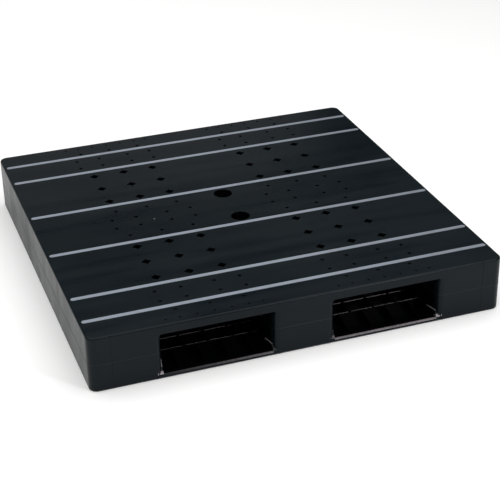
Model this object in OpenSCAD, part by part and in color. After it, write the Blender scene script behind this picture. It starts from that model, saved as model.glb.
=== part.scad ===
// Two-way plastic pallet: two moulded half shells welded together at mid height,
// with light anti-slip strips set into the deck.
// Origin: centre of the footprint, on the floor. +X along the fork entry faces,
// +Y from the front entry face to the rear one, +Z up. Millimetres.

/* [Overall size] */
// Width of the pallet along its fork entry faces
pallet_w = 1100; // [1060:10:1160]
// Depth of the pallet along the forks
pallet_d = 1100; // [1080:10:1140]
// Height from the floor to the deck
pallet_h = 150; // [144:1:160]
// Radius of the upright corners
corner_r = 22; // [16:1:30]
// Radius along the outer top and bottom edges
edge_r = 5; // [3:0.5:7]

/* [Plastic thicknesses] */
// Thickness of the deck skin and of the floor skin
skin_t = 3.5; // [3:0.25:4.5]
// Thickness of the outer and the tunnel walls
wall_t = 4; // [3.5:0.25:5]
// Thickness of the ribs
rib_t = 3; // [2.5:0.25:4]
// Thickness of the outer wall where the two halves are welded
land_t = 6; // [5:0.5:8]
// Height of that thicker land on each half
land_h = 5; // [3:1:8]

/* [Fork tunnels] */
// Distance from the middle of the pallet to the middle of each tunnel
tunnel_x = 225; // [215:1:235]
// Clear width between the walls of a tunnel
throat_w = 273; // [262:1:280]
// Width of the mouth behind its rounded upright edges
mouth_w = 290; // [284:1:298]
// Radius of the upright edges of the mouth
mouth_r = 15; // [10:1:18]
// Radius of the top corners of the mouth
mouth_top_r = 8; // [5:1:10]
// How far in the flared walls of the mouth reach
flare_d = 50; // [40:1:60]
// Depth of the upper deck above the tunnels, skin and ribs together
deck_t = 24; // [20:1:28]
// Height of the ribbed floor of the tunnels
floor_t = 26; // [22:1:30]
// Height of the lip that the forks pass over
lip_h = 12; // [10:1:14]
// Radius along the top of the lip
lip_r = 7; // [5:0.5:8]

/* [Ribs] */
// Spacing of the close rows of ribs at the middle and at both ends
close_pitch = 50; // [48:0.5:51]
// Spacing of the wide rows of ribs between them
wide_pitch = 87.5; // [85:0.5:88]
// Distance between the lengthwise ribs under the deck of a tunnel
deck_rib_pitch = 44; // [42:1:46]
// Distance between the lengthwise ribs of a tunnel floor
floor_rib_pitch = 64.5; // [60:0.5:68]
// Thickness of the lengthwise ribs of a tunnel floor
floor_rib_t = 5; // [4:0.5:6]

/* [Deck openings] */
// Diamond openings, corner to corner
diamond_w = 27; // [20:1:28]
// Depth of the collar round each diamond opening, from the top of the deck
collar_h = 14; // [8:1:16]
// Wall thickness of that collar
collar_t = 2.5; // [2:0.25:3]
// Diameter of the round drain holes
drain_d = 10; // [6:0.5:12]
// Diameter of the small holes next to the entry faces
pinhole_d = 6.5; // [4:0.5:8]
// Distance of those small holes from the entry face
pinhole_edge = 24; // [18:1:26]
// Diameter of the two round wells in the middle beam
well_d = 52; // [40:1:60]

/* [Floor openings] */
// Width of each wheel opening in a tunnel floor
wheel_w = 252; // [230:1:254]
// Diameter of the drain holes in the floor skin
floor_drain_d = 14; // [8:1:18]

/* [Anti-slip strips] */
// Width of each strip
strip_w = 13; // [10:0.5:15]
// Height of the strips above the deck
strip_proud = 0.8; // [0.5:0.1:1.5]
// Depth of the groove that holds a strip
groove_t = 2.2; // [1.5:0.1:2.5]
// Play between a strip and each side of its groove
groove_gap = 0.1; // [0.05:0.05:0.2]
// Distance from the end of a strip to the side of the pallet
strip_inset = 8; // [7:1:20]
// Distance of the inner pair of strips from the middle
strip_inner_y = 115; // [113:1:117]
// Distance of the middle pair of strips from the middle
strip_middle_y = 353; // [348:1:358]
// Distance of the outer pair of strips from the middle
strip_outer_y = 467; // [464:1:470]

/* [Hidden] */
STRIP_NODES = [
    "anti_slip_strip_1", "anti_slip_strip_2", "anti_slip_strip_3",
    "anti_slip_strip_4", "anti_slip_strip_5", "anti_slip_strip_6"
];
$fn = 48;
over = 1;                                   // how far a cutter runs past what it cuts
half_w = pallet_w / 2;
half_d = pallet_d / 2;
half_h = pallet_h / 2;                      // the weld is at mid height
throat = throat_w / 2;
mouth = mouth_w / 2;
arc_x = mouth + mouth_r;                    // centre of a mouth's rounded upright edge
arc_y = half_d - mouth_r;
rail_w = strip_w + 8;                       // thicker rail under each strip
rail_t = 4;
gusset_t = rib_t;
foot_t = 3;                                 // ledge along the foot of the tunnel walls
corner_bite = 0.4;                          // how far a mouth's round corner runs into the deck's front edge
mould_line_x = half_w - 57;                 // fine parting line of the mould's inserts
mould_line_w = 1.2;
mould_line_t = 0.4;
mould_notch_w = 5;

// Rows of ribs, as distances from the middle: two close cells, three wide ones, three close ones.
wide_from = 2 * close_pitch;
wide_to = wide_from + 3 * wide_pitch;
rib_rows = [
    0, close_pitch, wide_from,
    wide_from + wide_pitch, wide_from + 2 * wide_pitch, wide_to,
    wide_to + close_pitch, wide_to + 2 * close_pitch, wide_to + 3 * close_pitch
];
bulkhead_rows = [0, wide_from + wide_pitch, wide_to, wide_to + 3 * close_pitch];
beam_ribs_x = [0, (tunnel_x + throat + half_w) / 2];

// Rows of deck holes, in the middle of the cells between those ribs.
diamond_rows = [for (i = [0:2]) wide_from + (i + 0.5) * wide_pitch];
four_hole_rows = [0.5 * close_pitch, wide_to + 0.5 * close_pitch, wide_to + 1.5 * close_pitch];
three_hole_rows = [1.5 * close_pitch, wide_to + 2.5 * close_pitch];
pinhole_row = half_d - pinhole_edge;
hole_pitch = 2 * deck_rib_pitch;            // a hole every second cell
threes = [-hole_pitch, 0, hole_pitch];
outer_four = 112;
outer_pinhole = 125;
well_y = 1.5 * close_pitch;

// The tunnel floor: a board at each entry and one in the middle, with wheel openings between.
ramp_to = wide_to + 2 * close_pitch;        // the ramps end at this row of ribs
ramp_ribs_x = [0.5 * floor_rib_pitch, 1.5 * floor_rib_pitch];
floor_drain_x = [0.5 * floor_rib_pitch, 1.55 * floor_rib_pitch];
floor_drain_rows = [
    0.5 * close_pitch, 1.5 * close_pitch,
    wide_to + 0.5 * close_pitch, wide_to + 1.5 * close_pitch
];
strip_rows = [
    -strip_outer_y, -strip_middle_y, -strip_inner_y,
    strip_inner_y, strip_middle_y, strip_outer_y
];

// ---------- helpers ----------

// Both signs of a distance, and a single zero.
function both(d) = d == 0 ? [0] : [-d, d];
function both_of(list) = [for (d = list) each both(d)];

// A copy at the front and one at the rear.
module front_and_rear() {
    children();
    mirror([0, 1, 0]) children();
}

// A copy at each tunnel.
module each_tunnel() {
    for (x = both(tunnel_x)) translate([x, 0, 0]) children();
}

// A block given by its two corners.
module block(low, high) {
    translate(low) cube(high - low);
}

// Plan of one tunnel, with flared and rounded mouths. grow moves its sides outwards.
module tunnel_plan(grow = 0) {
    polygon([
        [-(mouth + grow), -arc_y], [mouth + grow, -arc_y],
        [throat + grow, -(half_d - flare_d)], [throat + grow, half_d - flare_d],
        [mouth + grow, arc_y], [-(mouth + grow), arc_y],
        [-(throat + grow), half_d - flare_d], [-(throat + grow), -(half_d - flare_d)]
    ]);
    for (end = [-1, 1]) difference() {
        translate([-arc_x, end > 0 ? arc_y : -half_d - over]) square([2 * arc_x, mouth_r + over]);
        for (x = both(arc_x)) translate([x, end * arc_y]) circle(mouth_r - grow);
    }
}

// ---------- one half shell, from the weld plane (z = 0) out to the skin (z = half_h) ----------

// Section of the outer wall: x inwards from the outer face, y away from the weld plane.
module rim_section() {
    difference() {
        square([corner_r, half_h]);
        translate([wall_t, land_h]) square([corner_r, half_h - skin_t - land_h]);
        translate([land_t, -over]) square([corner_r, land_h + 2 * over]);
        translate([-over, half_h - edge_r]) difference() {
            square([edge_r + over, edge_r + over]);
            translate([edge_r + over, 0]) circle(edge_r);
        }
    }
}

// One side of the rim and the corner at its end.
module rim_side(length, away) {
    translate([-(length / 2 - corner_r), -away / 2, 0])
        rotate([90, 0, 90]) linear_extrude(length - 2 * corner_r) rim_section();
    translate([length / 2 - corner_r, -away / 2 + corner_r, 0])
        rotate(-90) rotate_extrude(angle = 90)
            translate([corner_r, 0]) mirror([1, 0]) rim_section();
}

// Outer walls and skin.
module outer_shell() {
    for (turn = [0, 180]) {
        rotate(turn) rim_side(pallet_w, pallet_d);
        rotate(turn + 90) rim_side(pallet_d, pallet_w);
    }
    block([-half_w + corner_r, -half_d + corner_r, half_h - skin_t],
          [half_w - corner_r, half_d - corner_r, half_h]);
}

// The walls between the tunnels and the three beams.
module tunnel_walls() {
    each_tunnel() linear_extrude(half_h - skin_t / 2) difference() {
        tunnel_plan(wall_t);
        tunnel_plan();
    }
}

// A rib across the whole width.
module cross_rib(y, low) {
    block([-half_w + wall_t / 2, y - rib_t / 2, low],
          [half_w - wall_t / 2, y + rib_t / 2, half_h - skin_t / 2]);
}

// Bulkheads and lengthwise ribs inside the beams, and the tubes around the wells.
module beam_ribs() {
    for (y = both_of(bulkhead_rows)) cross_rib(y, 0);
    for (x = both_of(beam_ribs_x))
        block([x - rib_t / 2, -half_d + wall_t / 2, 0],
              [x + rib_t / 2, half_d - wall_t / 2, half_h - skin_t / 2]);
    for (y = both(well_y)) translate([0, y, 0])
        cylinder(h = half_h - skin_t / 2, d = well_d + 2 * wall_t);
}

module wells() {
    for (y = both(well_y)) translate([0, y, -over]) cylinder(h = half_h + 2 * over, d = well_d);
}

// The space of the tunnels, from the weld plane out to the given depth of deck or floor.
module tunnels(deck) {
    each_tunnel() translate([0, 0, -over]) linear_extrude(half_h - deck + over) tunnel_plan();
}

// Fine parting lines of the mould on the two entry faces, with a notch at the outer edge.
module mould_lines() {
    front_and_rear() for (x = both(mould_line_x)) {
        block([x - mould_line_w / 2, -half_d - over, -over],
              [x + mould_line_w / 2, -half_d + mould_line_t, half_h + over]);
        block([x - mould_notch_w / 2, -half_d - over, half_h - mould_notch_w / 2],
              [x + mould_notch_w / 2, -half_d + edge_r / 2, half_h + over]);
    }
}

// ---------- upper half ----------

// Lattice of ribs under the deck.
module deck_lattice() {
    for (y = both_of(rib_rows)) cross_rib(y, half_h - deck_t);
    each_tunnel() for (x = both_of([0.5 * deck_rib_pitch, 1.5 * deck_rib_pitch]))
        block([x - rib_t / 2, -half_d + wall_t / 2, half_h - deck_t],
              [x + rib_t / 2, half_d - wall_t / 2, half_h - skin_t / 2]);
}

// Rounds the top corners of the tunnel mouths.
module mouth_corners() {
    corner_x = mouth - mouth_top_r / 2;
    each_tunnel() front_and_rear() for (side = [0, 1]) mirror([side, 0, 0]) intersection() {
        translate([corner_x, -half_d + wall_t / 4, half_h - deck_t])
            rotate([90, 0, 0]) mirror([0, 0, 1]) linear_extrude(mouth_r) difference() {
                translate([0, -mouth_top_r]) square([mouth_r + mouth_top_r, mouth_top_r + over]);
                translate([0, corner_bite - mouth_top_r]) circle(mouth_top_r);
            }
        linear_extrude(half_h) tunnel_plan(wall_t / 2);
    }
}

module strip_rails() {
    for (y = strip_rows)
        block([-half_w + wall_t / 2, y - rail_w / 2, half_h - skin_t - rail_t],
              [half_w - wall_t / 2, y + rail_w / 2, half_h - skin_t / 2]);
}

// A straight bar with round ends along X, centred on y.
module round_ended_bar(length, width, low, high) {
    reach = (length - width) / 2;
    translate([-reach, -width / 2, low]) cube([2 * reach, width, high - low]);
    for (x = both(reach)) translate([x, 0, low]) cylinder(h = high - low, d = width);
}

module strip_grooves() {
    for (y = strip_rows) translate([0, y, 0])
        round_ended_bar(pallet_w - 2 * (strip_inset - groove_gap), strip_w + 2 * groove_gap,
                        half_h - groove_t, half_h + over);
}

// A row of holes down to the given depth, each either round or, with four sides, a diamond.
module hole_row(offsets, diameter, sides = $fn, depth = skin_t) {
    for (x = offsets) translate([x, 0, half_h - depth - over])
        cylinder(h = depth + 2 * over, d = diameter, $fn = sides);
}

// A collar under the skin round each diamond opening.
module diamond_collars() {
    for (y = both_of(diamond_rows)) each_tunnel() for (x = threes)
        translate([x, y, half_h - collar_h])
            cylinder(h = collar_h - skin_t / 2, d = diamond_w + 2 * sqrt(2) * collar_t, $fn = 4);
}

module deck_holes() {
    fours = concat(both(deck_rib_pitch), both(outer_four));
    sevens = concat(threes, both(deck_rib_pitch), both(outer_pinhole));
    each_tunnel() {
        for (y = both_of(diamond_rows)) translate([0, y, 0]) hole_row(threes, diamond_w, 4, collar_h);
        for (y = both_of(three_hole_rows)) translate([0, y, 0]) hole_row(threes, drain_d);
        for (y = both_of(four_hole_rows)) translate([0, y, 0]) hole_row(fours, drain_d);
        for (y = both(pinhole_row)) translate([0, y, 0]) hole_row(sevens, pinhole_d);
    }
}

module upper_half() {
    color([0.13, 0.15, 0.17]) translate([0, 0, half_h]) {
        difference() {
            union() {
                outer_shell();
                tunnel_walls();
                beam_ribs();
                deck_lattice();
                diamond_collars();
                strip_rails();
            }
            tunnels(deck_t);
            wells();
            strip_grooves();
            deck_holes();
            mould_lines();
        }
        mouth_corners();
    }
}

// ---------- lower half, drawn upside down like the upper one and then turned over ----------

// Clears the bulkheads out of the tunnels down to the floor skin.
module tunnel_floor_clearance() {
    reach = half_d - 2 * lip_r;
    each_tunnel() translate([0, 0, -over]) linear_extrude(half_h - skin_t + over) intersection() {
        tunnel_plan();
        translate([-arc_x, -reach]) square([2 * arc_x, 2 * reach]);
    }
}

// The bar of plastic behind the lip's round edge.
module lip_bars() {
    each_tunnel() front_and_rear()
        block([-arc_x, -half_d + wall_t / 2, half_h - lip_h],
              [arc_x, -half_d + 2 * lip_r, half_h - skin_t / 2]);
}

// Takes the front wall of each mouth down to the lip and rounds the lip's top edge.
module mouth_fronts() {
    lip_z = half_h - lip_h;
    each_tunnel() front_and_rear() intersection() {
        translate([-arc_x, -half_d, 0]) rotate([90, 0, 90]) linear_extrude(2 * arc_x) difference() {
            union() {
                translate([-over, -over]) square([land_t + 2 * over, lip_z + over]);
                translate([-over, -over]) square([lip_r + over, lip_z + lip_r + over]);
            }
            translate([lip_r, lip_z + lip_r]) circle(lip_r);
        }
        translate([0, 0, -over]) linear_extrude(half_h) tunnel_plan();
    }
}

// Sloping ribs that carry the forks from the lip up to the floor lattice.
module ramps() {
    start = half_d - lip_r;
    each_tunnel() front_and_rear() for (x = both_of(ramp_ribs_x))
        translate([x - gusset_t / 2, 0, 0]) rotate([90, 0, 90]) linear_extrude(gusset_t)
            polygon([
                [-start, half_h - lip_h], [-ramp_to, half_h - floor_t],
                [-ramp_to, half_h - skin_t / 2], [-start, half_h - skin_t / 2]
            ]);
}

// Ribs of one floor board between two rows, within the tunnel's width.
module floor_board(from_y, to_y, rows) {
    low = half_h - floor_t;
    high = half_h - skin_t / 2;
    side = throat + wall_t / 2;
    for (y = rows) block([-side, y - rib_t / 2, low], [side, y + rib_t / 2, high]);
    for (x = both_of([0, floor_rib_pitch]))
        block([x - floor_rib_t / 2, from_y, low], [x + floor_rib_t / 2, to_y, high]);
}

module floor_lattice() {
    each_tunnel() {
        floor_board(-wide_from, wide_from, both_of([0, close_pitch, wide_from]));
        front_and_rear()
            floor_board(-ramp_to, -wide_to, [-ramp_to, -wide_to - close_pitch, -wide_to]);
        for (x = both(wheel_w / 2 + rib_t / 2))
            block([x - rib_t / 2, -wide_to, half_h - floor_t],
                  [x + rib_t / 2, wide_to, half_h - skin_t / 2]);
    }
}

// Openings in the floor between the boards, for the wheels of a hand pallet truck.
module wheel_openings() {
    each_tunnel() front_and_rear()
        block([-wheel_w / 2, -wide_to + rib_t / 2, half_h - floor_t - over],
              [wheel_w / 2, -wide_from - rib_t / 2, half_h + over]);
}

// The ledge along the foot of the tunnel walls.
module wall_feet() {
    each_tunnel() intersection() {
        translate([0, 0, half_h - floor_t]) linear_extrude(floor_t - skin_t / 2) difference() {
            tunnel_plan(wall_t / 2);
            tunnel_plan(-foot_t);
        }
        block([-arc_x, -arc_y - over, 0], [arc_x, arc_y + over, half_h]);
    }
}

// Small gussets in the lower corners of the mouths, whose tops slope down to the entry face.
module corner_gussets() {
    front = -half_d + wall_t / 4;
    each_tunnel() front_and_rear() for (side = [0, 1]) mirror([side, 0, 0]) intersection() {
        translate([mouth - gusset_t, 0, 0]) rotate([90, 0, 90]) linear_extrude(mouth_r + gusset_t)
            polygon([
                [front, half_h - lip_h], [-arc_y, half_h - floor_t],
                [-arc_y, half_h - skin_t], [front, half_h - skin_t]
            ]);
        linear_extrude(half_h) tunnel_plan(wall_t / 2);
    }
}

module floor_drains() {
    each_tunnel() for (y = both_of(floor_drain_rows)) translate([0, y, 0])
        hole_row(both_of(floor_drain_x), floor_drain_d);
}

module lower_half() {
    color([0.12, 0.14, 0.15]) translate([0, 0, half_h]) mirror([0, 0, 1]) difference() {
        union() {
            difference() {
                union() {
                    outer_shell();
                    tunnel_walls();
                    beam_ribs();
                    lip_bars();
                }
                tunnels(floor_t);
                tunnel_floor_clearance();
                mouth_fronts();
            }
            floor_lattice();
            wall_feet();
            corner_gussets();
            ramps();
        }
        wheel_openings();
        wells();
        floor_drains();
        mould_lines();
    }
}

// ---------- anti-slip strips ----------

module anti_slip_strip(y) {
    color([0.62, 0.66, 0.71]) translate([0, y, 0])
        round_ended_bar(pallet_w - 2 * strip_inset, strip_w,
                        pallet_h - groove_t, pallet_h + strip_proud);
}

upper_half();
lower_half();
for (i = [0:len(STRIP_NODES) - 1])
    anti_slip_strip(strip_rows[i]);
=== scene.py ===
"""Looks of the square two-way plastic pallet: two welded half shells and six anti-slip strips.

The CAD nodes are the fixed frame. Lengths are in metres, in the CAD frame: +X along the fork
entry faces, +Y from the front to the rear, +Z up, origin on the floor under the pallet's middle.
"""

import math
from functools import reduce

import bmesh
import bpy
from mathutils import Matrix, Vector, noise


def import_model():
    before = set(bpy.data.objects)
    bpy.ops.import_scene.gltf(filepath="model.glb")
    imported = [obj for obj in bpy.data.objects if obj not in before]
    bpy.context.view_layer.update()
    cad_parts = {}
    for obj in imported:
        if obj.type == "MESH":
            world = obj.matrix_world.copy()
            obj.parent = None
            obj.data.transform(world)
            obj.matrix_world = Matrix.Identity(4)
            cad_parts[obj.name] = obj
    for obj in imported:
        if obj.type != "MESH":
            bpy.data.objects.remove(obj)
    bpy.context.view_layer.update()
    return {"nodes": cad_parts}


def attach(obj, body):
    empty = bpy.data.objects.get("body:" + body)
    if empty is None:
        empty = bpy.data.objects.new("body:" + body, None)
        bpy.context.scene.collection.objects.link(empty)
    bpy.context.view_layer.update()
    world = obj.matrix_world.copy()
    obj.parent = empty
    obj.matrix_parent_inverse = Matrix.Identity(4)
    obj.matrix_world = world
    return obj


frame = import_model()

scene = bpy.context.scene

MM = 0.001
STRIPS = [f"anti_slip_strip_{i}" for i in range(1, 7)]

# Dimensions of the CAD model that the looks refer to.
HALF = 550 * MM           # half of the footprint's side
CORNER_R = 22 * MM        # upright corners of the pallet
DECK_Z = 150 * MM
CEILING_Z = 126 * MM      # underside of the deck in the tunnels
SEAM_Z = 75 * MM          # the weld between the halves
FLOOR_Z = 26 * MM         # top of the ribs on the tunnel floor
LIP_Z = 12 * MM           # top of the lip across a mouth
TUNNEL_X = 225 * MM       # middle of each tunnel
TUNNEL_S = 136.5 * MM     # from there to the tunnel's wall
FLARE_S = 145 * MM        # and to the end of its flare, at the mouth
FLARE_Y = 500 * MM        # where the flare begins
MOUTH_R = 15 * MM         # the mouth's rounded upright edge
MOUTH_S = 160 * MM        # from the tunnel's middle to that arc's centre
MOULD_LINE_X = 493 * MM   # parting line of the mould, on the outer blocks
CROSS_RIBS_Y = (462.5 * MM, 412.5 * MM)   # first ribs across a tunnel's floor, behind its ramps
LONG_RIB_S = 64.5 * MM    # from the tunnel's middle to the ribs along its floor, beside the middle one
WELL_Y = 75 * MM          # middle of each well, on X = 0
WELL_R = 26 * MM


# ---------- small helpers ----------

class Nodes:
    """Builds a node tree: node() makes a node, sets its inputs and links the sockets it is given."""

    def __init__(self, tree):
        self.tree = tree
        tree.nodes.clear()

    def node(self, kind, inputs=None, **properties):
        made = self.tree.nodes.new(kind)
        for name, value in properties.items():
            setattr(made, name, value)
        for name, value in (inputs or {}).items():
            socket = made.inputs[name]
            if isinstance(value, bpy.types.NodeSocket):
                self.tree.links.new(value, socket)
            else:
                socket.default_value = value
        return made

    def math(self, operation, a, b=0.0):
        return self.node("ShaderNodeMath", {0: a, 1: b}, operation=operation).outputs[0]

    def every(self, *masks):
        """The product of masks: 1 where all of them are 1."""
        return reduce(lambda a, b: self.math("MULTIPLY", a, b), masks)

    def either(self, *masks):
        """The highest of masks: 1 where any of them is 1."""
        return reduce(lambda a, b: self.math("MAXIMUM", a, b), masks)

    def below(self, value, limit):
        """1 where the value is below the limit, else 0."""
        return self.math("LESS_THAN", value, limit)

    def within(self, value, low, high):
        """1 where the value is between low and high, else 0."""
        off = self.math("ABSOLUTE", self.math("SUBTRACT", value, (low + high) / 2))
        return self.math("LESS_THAN", off, (high - low) / 2)

    def noise(self, coords, scale, detail=3.0, roughness=0.5):
        inputs = {"Vector": coords, "Scale": scale, "Detail": detail, "Roughness": roughness}
        return self.node("ShaderNodeTexNoise", inputs).outputs[0]

    def remap(self, value, low, high, to_low, to_high):
        inputs = {
            "Value": value,
            "From Min": low,
            "From Max": high,
            "To Min": to_low,
            "To Max": to_high,
        }
        return self.node("ShaderNodeMapRange", inputs, clamp=True).outputs[0]

    def mix(self, factor, a, b):
        """Colour a where the factor is 0 and colour b where it is 1."""
        return self.node("ShaderNodeMix", {0: factor, 6: a, 7: b}, data_type="RGBA").outputs[2]


# ---------- materials ----------

def tunnel_place(n, coords):
    """X, the distance from the middle of the nearer tunnel, the distance from the pallet's middle along Y,
    and the height."""
    place = n.node("ShaderNodeSeparateXYZ", {"Vector": coords}).outputs
    across = n.math("ABSOLUTE", n.math("SUBTRACT", n.math("ABSOLUTE", place["X"]), TUNNEL_X))
    return place["X"], across, n.math("ABSOLUTE", place["Y"]), place["Z"]


def wear_and_painted_highlights(n, coords):
    """Pale marks in a tunnel near its mouths, partly fork wear and partly painted highlights: the tops of
    the first cross ribs and of the side ledges, the foot of the corner gussets and the crest of the lips,
    with the rows and lips stronger towards the right, and a painted reflection of the floor along the foot
    of the middle block."""
    x, across, along, height = tunnel_place(n, coords)
    normal = n.node("ShaderNodeNewGeometry").outputs["Normal"]
    slope = n.node("ShaderNodeSeparateXYZ", {"Vector": normal}).outputs["Z"]
    faces_up = n.math("GREATER_THAN", slope, 0.2)

    long_ribs = n.either(
        n.below(across, 4 * MM),
        n.within(across, LONG_RIB_S - 4 * MM, LONG_RIB_S + 4 * MM),
    )
    # Painted highlight along the first cross ribs, stronger in the right tunnel, with gaps at the ribs
    # along the floor.
    rows = n.every(
        n.either(*[n.within(along, y - 2 * MM, y + 2 * MM) for y in CROSS_RIBS_Y]),
        n.below(across, 130 * MM),
        n.math("SUBTRACT", 1.0, long_ribs),
        n.remap(x, -0.1, 0.1, 0.5, 1.0),  # more in the right tunnel
    )
    ledges = n.every(
        n.within(across, 131 * MM, 147 * MM),
        n.within(along, 503 * MM, 538 * MM),
    )
    rib_tops = n.every(
        n.within(height, FLOOR_Z - 1.0 * MM, FLOOR_Z + 0.3 * MM),
        n.either(rows, ledges),
    )

    # Painted highlight: the gussets beside the middle block get the least of it.
    weaker_highlight = n.either(
        n.math("MULTIPLY", n.within(x, -0.10, -0.06), 0.95),
        n.math("MULTIPLY", n.within(x, 0.06, 0.10), 0.75),
    )
    gussets = n.every(
        n.within(height, LIP_Z + 0.2 * MM, LIP_Z + 6 * MM),
        n.within(along, 533 * MM, 551 * MM),
        n.within(across, 140 * MM, 161 * MM),
        n.math("SUBTRACT", 1.0, weaker_highlight),
    )
    # Painted highlight on the crest of the lips, rising towards the right.
    lips = n.every(
        n.within(height, LIP_Z - 7 * MM, LIP_Z + 0.3 * MM),
        n.within(along, 545.5 * MM, 549.5 * MM),
        n.below(across, 142.5 * MM),
        n.remap(x, -0.36, 0.1, 0.03, 0.5),
    )
    patchy = n.remap(n.noise(coords, 130.0, 3.0), 0.3, 0.6, 0.55, 1.0)
    scrape_and_highlight = n.every(n.either(rib_tops, gussets, lips), faces_up, patchy)

    # Painted reflection of the floor along the foot of the middle block.
    foot = n.every(
        n.within(height, -1.0 * MM, 3.5 * MM),
        n.within(along, 545 * MM, 552 * MM),
        n.within(x, -75 * MM, 75 * MM),
    )
    return n.either(scrape_and_highlight, n.math("MULTIPLY", foot, 0.25))


def painted_recess_shade(n, coords):
    """Painted shade: 1 inside the tunnels and the wells, which are coloured near black as shade."""
    x, across, along, height = tunnel_place(n, coords)
    under_deck = n.below(height, DECK_Z - 1 * MM)
    tunnel = n.every(n.below(across, 143.5 * MM), n.below(along, HALF - 1.5 * MM))
    from_well = n.node("ShaderNodeCombineXYZ", {"X": x, "Y": n.math("SUBTRACT", along, WELL_Y)}).outputs[0]
    radius = n.node("ShaderNodeVectorMath", {0: from_well}, operation="LENGTH").outputs["Value"]
    return n.every(n.either(tunnel, n.below(radius, WELL_R + 0.5 * MM)), under_deck)


def shell_material():
    """Black polyethylene: a fine spark grain, faint flow bands along X, a few dull scuffs, pale marks that
    are partly fork wear and partly painted highlights, and painted shade in the tunnels and wells.
    """
    dark = (0.0018, 0.0050, 0.0074, 1)
    light = (0.0044, 0.0084, 0.0108, 1)
    dull = (0.012, 0.016, 0.018, 1)
    # Painted shade colour for the tunnels and wells.
    recess_shade_black = (0.0008, 0.0010, 0.0016, 1)
    # Pale colour for the painted highlights and wear in the tunnels.
    scrape_and_highlight = (0.38, 0.34, 0.36, 1)
    material = bpy.data.materials.new("moulded_black_plastic")
    material.use_nodes = True
    n = Nodes(material.node_tree)
    coords = n.node("ShaderNodeTexCoord").outputs["Object"]
    along_x = n.node("ShaderNodeMapping", {"Vector": coords, "Scale": (0.8, 9.0, 3.0)}).outputs[0]
    scratchy = n.node("ShaderNodeMapping", {
        "Vector": coords,
        "Rotation": (0.0, 0.0, 0.5),
        "Scale": (6.0, 240.0, 60.0),
    }).outputs[0]
    cloud = n.noise(coords, 3.0, 4.0)
    flow = n.noise(along_x, 2.0, 5.0, 0.6)
    grain = n.noise(coords, 900.0, 2.0)
    ripple = n.noise(coords, 45.0, 3.0)
    scuff = n.remap(n.noise(scratchy, 1.0, 3.0, 0.6), 0.70, 0.76, 0.0, 1.0)
    handled = n.remap(n.noise(coords, 5.0, 2.0), 0.5, 0.62, 0.0, 1.0)
    scuffs = n.math("MULTIPLY", scuff, handled)
    tint = n.math("ADD", n.math("MULTIPLY", cloud, 0.45), n.math("MULTIPLY", flow, 0.55))
    colour = n.mix(n.remap(tint, 0.38, 0.62, 0, 1), dark, light)
    colour = n.mix(n.math("MULTIPLY", scuffs, 0.25), colour, dull)
    # Painted shade: the tunnels and wells are coloured near black.
    colour = n.mix(painted_recess_shade(n, coords), colour, recess_shade_black)
    # Pale marks in the tunnels, partly fork wear and partly painted highlights.
    colour = n.mix(wear_and_painted_highlights(n, coords), colour, scrape_and_highlight)
    sheen = n.remap(tint, 0.38, 0.62, 0.27, 0.39)
    roughness = n.math("ADD", sheen, n.math("MULTIPLY", scuffs, 0.1))
    waves = n.node("ShaderNodeBump", {"Strength": 0.2, "Distance": 0.0004, "Height": ripple})
    bump = n.node("ShaderNodeBump", {
        "Strength": 0.25,
        "Distance": 0.0003,
        "Height": grain,
        "Normal": waves.outputs[0],
    })
    shader = n.node("ShaderNodeBsdfPrincipled", {
        "Base Color": colour,
        "Roughness": roughness,
        "Specular IOR Level": 0.13,
        "Normal": bump.outputs[0],
    })
    n.node("ShaderNodeOutputMaterial", {"Surface": shader.outputs[0]})
    return material


def weld_material():
    """The squeezed-out weld bead: the same plastic, smoother and a little brighter than the walls."""
    material = bpy.data.materials.new("weld_bead_plastic")
    material.use_nodes = True
    n = Nodes(material.node_tree)
    coords = n.node("ShaderNodeTexCoord").outputs["Object"]
    lumps = n.noise(coords, 60.0, 4.0)
    fine = n.noise(coords, 500.0, 2.0)
    colour = n.mix(lumps, (0.005, 0.009, 0.011, 1), (0.009, 0.013, 0.015, 1))
    bump = n.node("ShaderNodeBump", {"Strength": 0.3, "Distance": 0.0002, "Height": fine})
    shader = n.node("ShaderNodeBsdfPrincipled", {
        "Base Color": colour,
        "Roughness": n.remap(lumps, 0.3, 0.7, 0.28, 0.40),
        "Specular IOR Level": 0.18,
        "Normal": bump.outputs[0],
    })
    n.node("ShaderNodeOutputMaterial", {"Surface": shader.outputs[0]})
    return material


def gate_material():
    """Plastic whitened where the sprue was broken off."""
    material = bpy.data.materials.new("whitened_gate_plastic")
    material.use_nodes = True
    n = Nodes(material.node_tree)
    coords = n.node("ShaderNodeTexCoord").outputs["Object"]
    blotch = n.noise(coords, 900.0, 3.0)
    bump = n.node("ShaderNodeBump", {"Strength": 0.5, "Distance": 0.0002, "Height": blotch})
    shader = n.node("ShaderNodeBsdfPrincipled", {
        "Base Color": n.mix(blotch, (0.16, 0.17, 0.18, 1), (0.45, 0.46, 0.47, 1)),
        "Roughness": 0.55,
        "Normal": bump.outputs[0],
    })
    n.node("ShaderNodeOutputMaterial", {"Surface": shader.outputs[0]})
    return material


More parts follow.
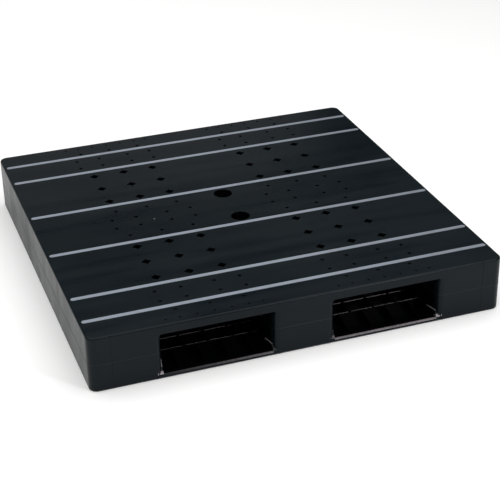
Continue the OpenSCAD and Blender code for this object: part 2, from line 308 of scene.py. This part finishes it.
def strip_material():
    """Pale grip rubber with a fine grain, a little soiled in patches, and darker towards the right."""
    material = bpy.data.materials.new("pale_grip_rubber")
    material.use_nodes = True
    n = Nodes(material.node_tree)
    coords = n.node("ShaderNodeTexCoord").outputs["Object"]
    cloud = n.noise(coords, 8.0, 4.0)
    soil_and_right_darkening = n.remap(n.noise(coords, 22.0, 5.0, 0.65), 0.52, 0.72, 0.0, 0.3)
    right_end = n.node("ShaderNodeSeparateXYZ", {"Vector": coords}).outputs["X"]
    # Darker towards the right end.
    soil_and_right_darkening = n.math("ADD", soil_and_right_darkening, n.remap(right_end, 0.0, 0.5, 0.0, 0.5))
    grain = n.noise(coords, 1200.0, 2.0)
    clean = n.mix(cloud, (0.23, 0.26, 0.31, 1), (0.26, 0.29, 0.335, 1))
    colour = n.mix(soil_and_right_darkening, clean, (0.14, 0.155, 0.175, 1))
    bump = n.node("ShaderNodeBump", {"Strength": 0.4, "Distance": 0.0003, "Height": grain})
    shader = n.node("ShaderNodeBsdfPrincipled", {
        "Base Color": colour,
        "Roughness": n.remap(cloud, 0.3, 0.7, 0.55, 0.65),
        "Specular IOR Level": 0.3,
        "Normal": bump.outputs[0],
    })
    n.node("ShaderNodeOutputMaterial", {"Surface": shader.outputs[0]})
    return material


def give(obj, material):
    obj.data.materials.clear()
    obj.data.materials.append(material)


# ---------- softened edges on the CAD nodes ----------

def geometry_group(name):
    """An empty geometry node group, with its input and output nodes."""
    group = bpy.data.node_groups.new(name, "GeometryNodeTree")
    group.interface.new_socket("Geometry", in_out="INPUT", socket_type="NodeSocketGeometry")
    group.interface.new_socket("Geometry", in_out="OUTPUT", socket_type="NodeSocketGeometry")
    return group, group.nodes.new("NodeGroupInput"), group.nodes.new("NodeGroupOutput")


def smooth_shading_group():
    """Smooth shading, broken only at edges of more than 50 degrees."""
    group, start, end = geometry_group("smooth_shading")
    smooth = group.nodes.new("GeometryNodeSetShadeSmooth")
    group.links.new(start.outputs[0], smooth.inputs[0])
    angle = group.nodes.new("GeometryNodeInputMeshEdgeAngle")
    steep = group.nodes.new("FunctionNodeCompare")
    steep.operation = "GREATER_THAN"
    group.links.new(angle.outputs[0], steep.inputs[0])
    steep.inputs[1].default_value = math.radians(50)
    sharp = group.nodes.new("GeometryNodeSetShadeSmooth")
    sharp.domain = "EDGE"
    sharp.inputs["Shade Smooth"].default_value = False
    group.links.new(smooth.outputs[0], sharp.inputs[0])
    group.links.new(steep.outputs[0], sharp.inputs["Selection"])
    group.links.new(sharp.outputs[0], end.inputs[0])
    return group


def sharp_edge_group(name, levels):
    """Gives bevel weight 1 to the sharp edges at these heights. On the front and rear faces it leaves out
    those where a mouth's round corner runs into a flat wall, and those beside the parting line."""
    group, start, end = geometry_group(name)

    def node(kind, inputs, **properties):
        made = group.nodes.new(kind)
        for key, value in properties.items():
            setattr(made, key, value)
        for index, value in inputs.items():
            if isinstance(value, bpy.types.NodeSocket):
                group.links.new(value, made.inputs[index])
            else:
                made.inputs[index].default_value = value
        return made

    def calc(operation, a, b=0.0):
        return node("ShaderNodeMath", {0: a, 1: b}, operation=operation).outputs[0]

    def within(value, centre, reach):
        return calc("LESS_THAN", calc("ABSOLUTE", calc("SUBTRACT", value, centre)), reach)

    angle = node("GeometryNodeInputMeshEdgeAngle", {}).outputs[0]
    place = node("ShaderNodeSeparateXYZ", {0: node("GeometryNodeInputPosition", {}).outputs[0]})
    x = calc("ABSOLUTE", place.outputs[0])
    y = calc("ABSOLUTE", place.outputs[1])
    at_level = 0.0
    for level in levels:
        at_level = calc("MAXIMUM", at_level, within(place.outputs[2], level, 0.1 * MM))
    near = within(x, MOULD_LINE_X, 9 * MM)
    for centre in (TUNNEL_X - MOUTH_S, TUNNEL_X + MOUTH_S):
        near = calc("MAXIMUM", near, within(x, centre, 16 * MM))
    clear = calc("SUBTRACT", 1.0, calc("MULTIPLY", near, calc("GREATER_THAN", y, HALF - 20 * MM)))
    sharp = calc("MULTIPLY", calc("GREATER_THAN", angle, math.radians(40)), at_level)
    store = node("GeometryNodeStoreNamedAttribute", {
        0: start.outputs[0],
        2: "bevel_weight_edge",
        3: calc("MULTIPLY", sharp, clear),
    }, domain="EDGE", data_type="FLOAT")
    group.links.new(store.outputs[0], end.inputs[0])
    return group


SMOOTH = smooth_shading_group()


def soften(obj, width, levels=(), merge_faces=False):
    """Rounds a CAD mesh's sharp edges, at these heights or everywhere. With merge_faces, it first joins
    the facets that lie in one plane."""
    weld = obj.modifiers.new("weld", "WELD")
    weld.merge_threshold = 0.01 * MM
    if merge_faces:
        faces = obj.modifiers.new("whole_faces", "DECIMATE")
        faces.decimate_type = "DISSOLVE"
        faces.angle_limit = math.radians(0.5)
    if levels:
        sharp = obj.modifiers.new("sharp_edges", "NODES")
        sharp.node_group = sharp_edge_group(f"sharp_edges_{obj.name}", levels)
    bevel = obj.modifiers.new("soft_edges", "BEVEL")
    bevel.width = width
    bevel.segments = 2
    bevel.limit_method = "WEIGHT" if levels else "ANGLE"
    bevel.angle_limit = math.radians(40)
    bevel.use_clamp_overlap = not levels
    bevel.loop_slide = not merge_faces
    bevel.miter_outer = "MITER_ARC"
    smooth = obj.modifiers.new("smooth", "NODES")
    smooth.node_group = SMOOTH
    normals = obj.modifiers.new("even_faces", "WEIGHTED_NORMAL")
    normals.weight = 100
    normals.keep_sharp = True


# ---------- weld beads and gate mark ----------

def arc(centre_x, centre_y, radius, start, end, steps=8):
    """Points on an arc, angles in degrees."""
    points = []
    for i in range(steps + 1):
        angle = math.radians(start + (end - start) * i / steps)
        points.append((centre_x + radius * math.cos(angle), centre_y + radius * math.sin(angle)))
    return points


def tunnel_side(wall, sign):
    """One tunnel wall from its front mouth to its rear mouth. sign is +1 when the tunnel is on the
    wall's +X side. wall(s) gives X at s from the tunnel's middle."""
    front = HALF - MOUTH_R
    centre = wall(MOUTH_S)
    points = arc(centre, -front, MOUTH_R, -90, 0 if sign > 0 else -180)
    points += [(wall(FLARE_S), -front), (wall(TUNNEL_S), -FLARE_Y), (wall(TUNNEL_S), FLARE_Y)]
    points += arc(centre, front, MOUTH_R, 0 if sign > 0 else 180, 90)
    return points


def block_outlines():
    """Plans of the left, middle and right blocks at the seam, each counter-clockwise."""
    corner = HALF - CORNER_R
    left = tunnel_side(lambda s: -TUNNEL_X - s, 1)
    left += arc(-corner, corner, CORNER_R, 90, 180)
    left += arc(-corner, -corner, CORNER_R, 180, 270)
    left_wall_of_middle = tunnel_side(lambda s: -TUNNEL_X + s, -1)
    right_wall_of_middle = [(-x, y) for x, y in left_wall_of_middle]
    middle = right_wall_of_middle + left_wall_of_middle[::-1]
    right = [(-x, y) for x, y in left][::-1]
    return left, middle, right


def resample(outline, step):
    """Evenly spaced points on a closed outline, with the outward direction at each."""
    loop = [Vector(p) for p in outline]
    loop = [p for i, p in enumerate(loop) if (p - loop[i - 1]).length > 0.01 * MM]
    lengths = [(loop[(i + 1) % len(loop)] - p).length for i, p in enumerate(loop)]
    total = sum(lengths)
    count = round(total / step)
    points = []
    i = 0
    start = 0.0
    for k in range(count):
        along = total * k / count
        while start + lengths[i] < along:
            start += lengths[i]
            i += 1
        points.append(loop[i].lerp(loop[(i + 1) % len(loop)], (along - start) / lengths[i]))
    outward = []
    for k, p in enumerate(points):
        way = (points[(k + 1) % count] - points[k - 1]).normalized()
        outward.append(Vector((way.y, -way.x)))
    return points, outward


def weld_bead(name, outline, seed):
    """The flash a hot plate weld leaves: two small rolls of uneven size, above and below the seam."""
    points, outward = resample(outline, 2.5 * MM)
    # The lower half of the cross-section, in mm: distance out from the wall, and height from the seam.
    lower_roll = [(-0.9, -1.3), (-0.2, -1.2), (0.26, -0.85), (0.32, -0.55), (0.12, -0.15)]
    profile = lower_roll + [(out, -up) for out, up in reversed(lower_roll)]
    rings = []
    for p, out in zip(points, outward):
        here = Vector((p.x, p.y, seed))
        size = 1.0 + 0.35 * noise.noise(here * 90) + 0.15 * noise.noise(here * 320)
        lift = 0.25 * noise.noise(here * 40 + Vector((5, 0, 0)))
        ring = []
        for reach, rise in profile:
            spot = p + out * (reach * size * MM)
            ring.append((spot.x, spot.y, SEAM_Z + (rise * size + lift) * MM))
        rings.append(ring)
    return tube(name, rings)


def tube(name, rings):
    """A closed ring of cross-sections as one mesh."""
    sides = len(rings[0])
    vertices = [v for ring in rings for v in ring]
    faces = []
    for i in range(len(rings)):
        j = (i + 1) % len(rings)
        for k in range(sides):
            m = (k + 1) % sides
            faces.append((i * sides + k, i * sides + m, j * sides + m, j * sides + k))
    return add_mesh(name, vertices, faces)


def lathe(name, centre, profile, steps=24):
    """A solid of revolution about an upright axis, which holds the profile's first and last points."""
    vertices = [(centre[0], centre[1], profile[0][1])]
    for r, z in profile[1:-1]:
        for k in range(steps):
            angle = 2 * math.pi * k / steps
            vertices.append((centre[0] + r * math.cos(angle), centre[1] + r * math.sin(angle), z))
    vertices.append((centre[0], centre[1], profile[-1][1]))
    rows = len(profile) - 2
    last = len(vertices) - 1
    faces = []
    for k in range(steps):
        m = (k + 1) % steps
        faces.append((0, 1 + m, 1 + k))
        for row in range(rows - 1):
            a = 1 + row * steps
            b = a + steps
            faces.append((a + k, a + m, b + m, b + k))
        a = 1 + (rows - 1) * steps
        faces.append((a + k, a + m, last))
    return add_mesh(name, vertices, faces)


def add_mesh(name, vertices, faces):
    mesh = bpy.data.meshes.new(name)
    mesh.from_pydata(vertices, [], faces)
    shape = bmesh.new()
    shape.from_mesh(mesh)
    bmesh.ops.recalc_face_normals(shape, faces=shape.faces)
    shape.to_mesh(mesh)
    shape.free()
    for polygon in mesh.polygons:
        polygon.use_smooth = True
    made = bpy.data.objects.new(name, mesh)
    scene.collection.objects.link(made)
    return made


# ---------- the object ----------

shell = shell_material()
strip = strip_material()
upper = frame["nodes"]["upper_half"]
lower = frame["nodes"]["lower_half"]
give(upper, shell)
give(lower, shell)
soften(upper, 0.6 * MM, levels=(CEILING_Z, DECK_Z), merge_faces=True)
soften(lower, 0.9 * MM, levels=(0.0, LIP_Z, FLOOR_Z))
for name in STRIPS:
    give(frame["nodes"][name], strip)
    soften(frame["nodes"][name], 0.5 * MM, merge_faces=True)

weld = weld_material()
for name, outline, seed in zip(("left", "middle", "right"), block_outlines(), (1, 2, 3)):
    bead = weld_bead(f"weld_bead_{name}", outline, seed)
    give(bead, weld)
    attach(bead, "root")

# Radius and height above the deck, in mm: a small dish with a stub of sprue in it.
gate_profile = [(0, -1.0), (1.6, -1.0), (1.6, 0.05), (1.4, 0.1), (1.1, 0.12), (0.8, 0.5), (0, 0.6)]
gate = lathe("gate_mark", (-226 * MM, -6.5 * MM), [(r * MM, DECK_Z + z * MM) for r, z in gate_profile])
give(gate, gate_material())
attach(gate, "root")


# ---------- floor, light and camera ----------

def floor():
    bpy.ops.mesh.primitive_plane_add(size=40)
    plane = bpy.context.object
    plane.name = "floor"
    material = bpy.data.materials.new("pale_floor")
    material.use_nodes = True
    shader = material.node_tree.nodes["Principled BSDF"]
    shader.inputs["Base Color"].default_value = (0.9, 0.9, 0.9, 1)
    shader.inputs["Roughness"].default_value = 0.9
    shader.inputs["Specular IOR Level"].default_value = 0.0
    shader.inputs["Emission Color"].default_value = (1.0, 0.985, 0.97, 1)
    shader.inputs["Emission Strength"].default_value = 0.15
    give(plane, material)


def area_light(name, place, aim, width, height, power):
    data = bpy.data.lights.new(name, "AREA")
    data.shape = "RECTANGLE"
    data.size = width
    data.size_y = height
    data.energy = power
    light = bpy.data.objects.new(name, data)
    scene.collection.objects.link(light)
    light.location = place
    light.rotation_euler = (Vector(aim) - Vector(place)).to_track_quat("-Z", "Y").to_euler()


def world(strength):
    made = bpy.data.worlds.new("studio")
    scene.world = made
    made.use_nodes = True
    background = made.node_tree.nodes["Background"]
    background.inputs["Color"].default_value = (1, 1, 1, 1)
    background.inputs["Strength"].default_value = strength


def camera(azimuth, elevation, roll, target, distance, focal_frames):
    """A camera at this distance from the target. Azimuth 0 looks along +Y, angles are in degrees, and the
    focal length is in frame widths."""
    a = math.radians(azimuth)
    e = math.radians(elevation)
    r = math.radians(roll)
    back = Vector((math.sin(a) * math.cos(e), -math.cos(a) * math.cos(e), math.sin(e)))
    level = Vector((math.cos(a), math.sin(a), 0))
    upright = back.cross(level)
    right = level * math.cos(r) + upright * math.sin(r)
    up = upright * math.cos(r) - level * math.sin(r)
    data = bpy.data.cameras.new("camera")
    data.sensor_width = 36
    data.lens = focal_frames * data.sensor_width
    made = bpy.data.objects.new("camera", data)
    scene.collection.objects.link(made)
    place = Vector(target) + back * distance
    made.matrix_world = Matrix.Translation(place) @ Matrix((right, up, back)).transposed().to_4x4()
    scene.camera = made


floor()
world(0.02)
area_light("overhead", (-0.5, -0.2, 4.2), aim=(-0.5, -0.2, 0), width=8.5, height=7.6, power=385)
area_light("key", (1.1, -2.5, 1.3), aim=(0.1, -0.4, 0.1), width=0.2, height=0.2, power=16.5)
area_light("rear", (-0.15, 3.2, 0.85), aim=(-0.1, 0.5, 0.15), width=3.4, height=0.7, power=5)
scene.view_settings.view_transform = "Standard"
camera(azimuth=-19.38, elevation=28.42, roll=-0.963, target=(0.0491, -0.0095, 0), distance=3.8555,
       focal_frames=2.7068)
